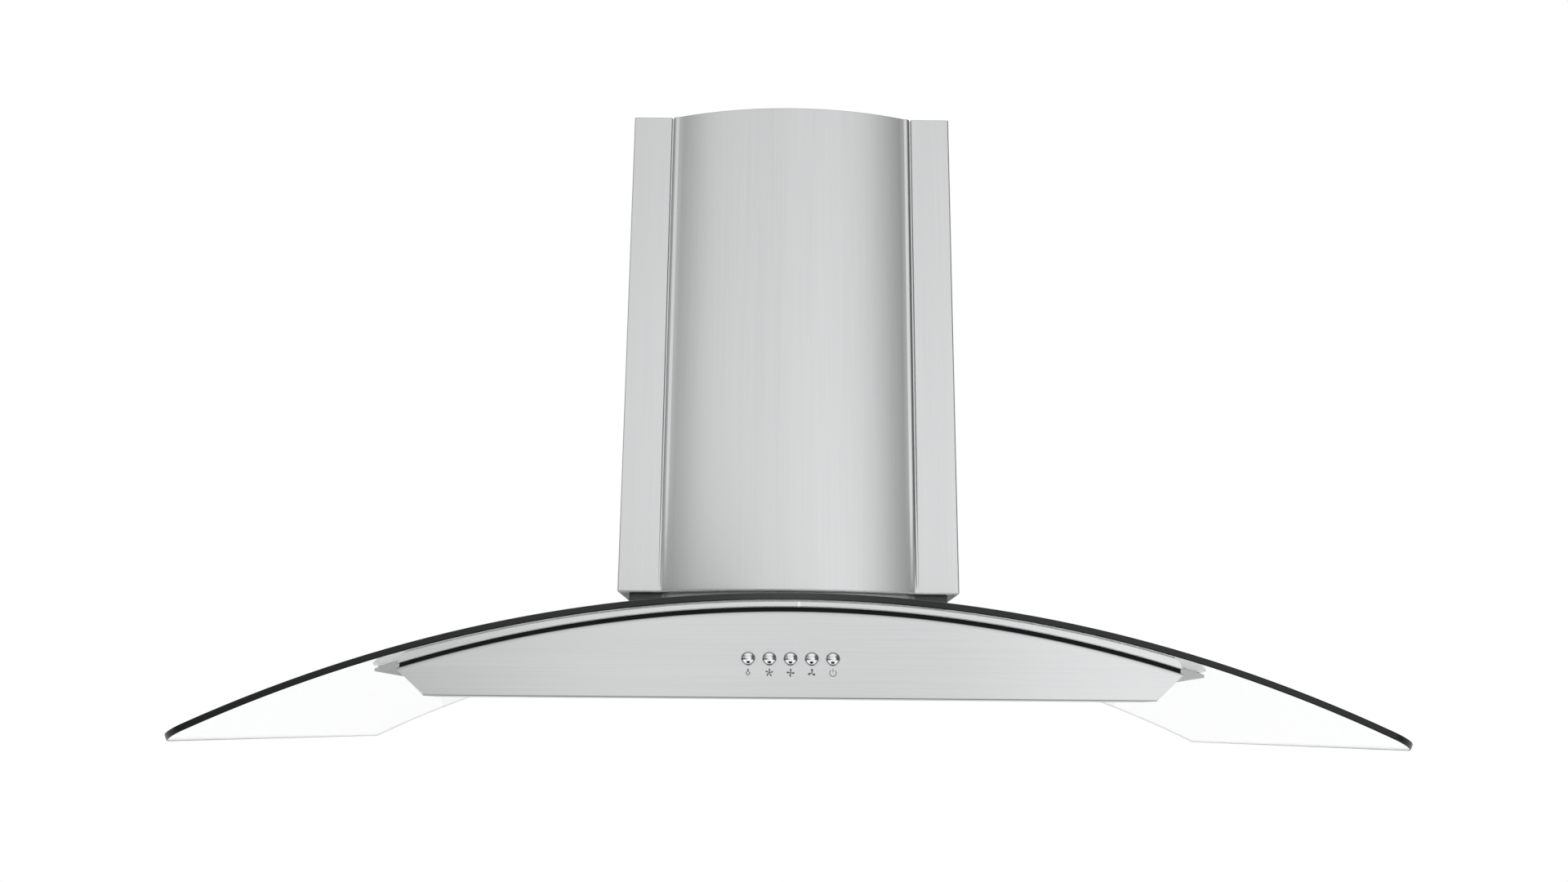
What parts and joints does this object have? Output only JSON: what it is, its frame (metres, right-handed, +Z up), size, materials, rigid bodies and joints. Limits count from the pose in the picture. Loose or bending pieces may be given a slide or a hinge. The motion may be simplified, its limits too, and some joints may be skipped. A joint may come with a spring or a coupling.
{
  "type": "curved glass range hood",
  "caption": "Wall-mounted cooker hood: curved glass canopy on a stainless body with push buttons, lamps, hinged grease filters and a telescopic curved-front chimney.",
  "frame": {"origin": "middle of the four wall-screw holes, on the wall plane", "axes": "+X to the right seen from the room, +Y into the wall, +Z up; the front faces -Y"},
  "size_m": [0.9, 0.5, 0.5991],
  "materials": {
    "glass": "clear toughened glass with dark polished edges",
    "steel": "brushed stainless steel",
    "dark_seam": "black rubber",
    "steel_dark": "dull stainless steel in shadow",
    "galvanised": "zinc-coated sheet steel",
    "fastener": "plated steel",
    "chrome": "polished chrome",
    "aluminium": "bare aluminium",
    "black_plastic": "moulded plastic",
    "white_plastic": "moulded plastic",
    "rubber": "moulded rubber",
    "silicone": "pale moulded silicone",
    "motor": "enamelled steel",
    "board": "coated glass-fibre board",
    "lens": "frosted glass"
  },
  "bodies": {
    "hood": {"glass_canopy": "glass", "glass_gasket": "silicone", "glass_bolts": "chrome", "glass_washers": "rubber", "glass_nuts": "fastener", "glass_rail": "steel", "seam_seal": "dark_seam", "fascia_panel": "steel", "fascia_clips": "galvanised", "fascia_screws": "fastener", "body_pan": "steel", "body_top": "steel", "blower_box": "galvanised", "chimney_lower": "steel", "chimney_collar": "steel_dark", "chimney_clips": "galvanised", "chimney_screws": "fastener", "volute_left": "black_plastic", "volute_right": "black_plastic", "motor_body": "motor", "motor_bearings": "fastener", "motor_bracket": "galvanised", "motor_screws": "fastener", "motor_bushes": "rubber", "outlet_spigot": "black_plastic", "flap_pin": "fastener", "filter_pivots": "galvanised", "lamp_bezel_left": "chrome", "lamp_bezel_right": "chrome", "lamp_lens_left": "lens", "lamp_lens_right": "lens", "lamp_body_left": "aluminium", "lamp_body_right": "aluminium", "button_rings": "chrome", "switch_housing": "black_plastic", "switch_board": "board", "junction_box": "white_plastic", "junction_lid": "white_plastic", "capacitor": "white_plastic", "cable_gland": "black_plastic"},
    "upper_cover": {"chimney_upper": "steel", "chimney_bracket": "galvanised"},
    "fan": {"impeller": "black_plastic", "motor_shaft": "fastener"},
    "flap_left": {"flap_left": "black_plastic"},
    "flap_right": {"flap_right": "black_plastic"},
    "filter_left": {"filter_frame_left": "aluminium", "filter_mesh_left": "aluminium", "latch_spring_left": "fastener"},
    "filter_right": {"filter_frame_right": "aluminium", "filter_mesh_right": "aluminium", "latch_spring_right": "fastener"},
    "latch_left": {"latch_left": "black_plastic"},
    "latch_right": {"latch_right": "black_plastic"},
    "button_lamp": {"button_lamp": "chrome"},
    "button_fast": {"button_fast": "chrome"},
    "button_medium": {"button_medium": "chrome"},
    "button_slow": {"button_slow": "chrome"},
    "button_power": {"button_power": "chrome"}
  },
  "joints": [
    {"name": "chimney_slide", "type": "slide", "parent": "hood", "child": "upper_cover", "axis": [0, 0, 1], "range_m": [0, 0.3]},
    {"name": "fan_spin", "type": "hinge", "parent": "hood", "child": "fan", "pos_m": [0, -0.115, -0.055], "axis": [1, 0, 0], "continuous": true},
    {"name": "flap_left_hinge", "type": "hinge", "parent": "hood", "child": "flap_left", "pos_m": [0, -0.172, 0.116], "axis": [0, 1, 0], "range_deg": [0, 75]},
    {"name": "flap_right_hinge", "type": "hinge", "parent": "hood", "child": "flap_right", "pos_m": [0, -0.172, 0.116], "axis": [0, -1, 0], "range_deg": [0, 75]},
    {"name": "filter_left_hinge", "type": "hinge", "parent": "hood", "child": "filter_left", "pos_m": [-0.133, -0.066, -0.2285], "axis": [1, 0, 0], "range_deg": [0, 65]},
    {"name": "filter_right_hinge", "type": "hinge", "parent": "hood", "child": "filter_right", "pos_m": [0.133, -0.066, -0.2285], "axis": [1, 0, 0], "range_deg": [0, 65]},
    {"name": "latch_left_slide", "type": "slide", "parent": "filter_left", "child": "latch_left", "axis": [0, 1, 0], "range_m": [0, 0.005], "stiffness_N_per_m": 400, "springref_m": -0.001, "deforming": ["latch_spring_left"]},
    {"name": "latch_right_slide", "type": "slide", "parent": "filter_right", "child": "latch_right", "axis": [0, 1, 0], "range_m": [0, 0.005], "stiffness_N_per_m": 400, "springref_m": -0.001, "deforming": ["latch_spring_right"]},
    {"name": "button_lamp_press", "type": "slide", "parent": "hood", "child": "button_lamp", "axis": [0, 1, 0], "range_m": [0, 0.0035], "stiffness_N_per_m": 600, "springref_m": -0.001},
    {"name": "button_fast_press", "type": "slide", "parent": "hood", "child": "button_fast", "axis": [0, 1, 0], "range_m": [0, 0.0035], "stiffness_N_per_m": 600, "springref_m": -0.001},
    {"name": "button_medium_press", "type": "slide", "parent": "hood", "child": "button_medium", "axis": [0, 1, 0], "range_m": [0, 0.0035], "stiffness_N_per_m": 600, "springref_m": -0.001},
    {"name": "button_slow_press", "type": "slide", "parent": "hood", "child": "button_slow", "axis": [0, 1, 0], "range_m": [0, 0.0035], "stiffness_N_per_m": 600, "springref_m": -0.001},
    {"name": "button_power_press", "type": "slide", "parent": "hood", "child": "button_power", "axis": [0, 1, 0], "range_m": [0, 0.0035], "stiffness_N_per_m": 600, "springref_m": -0.001}
  ]
}
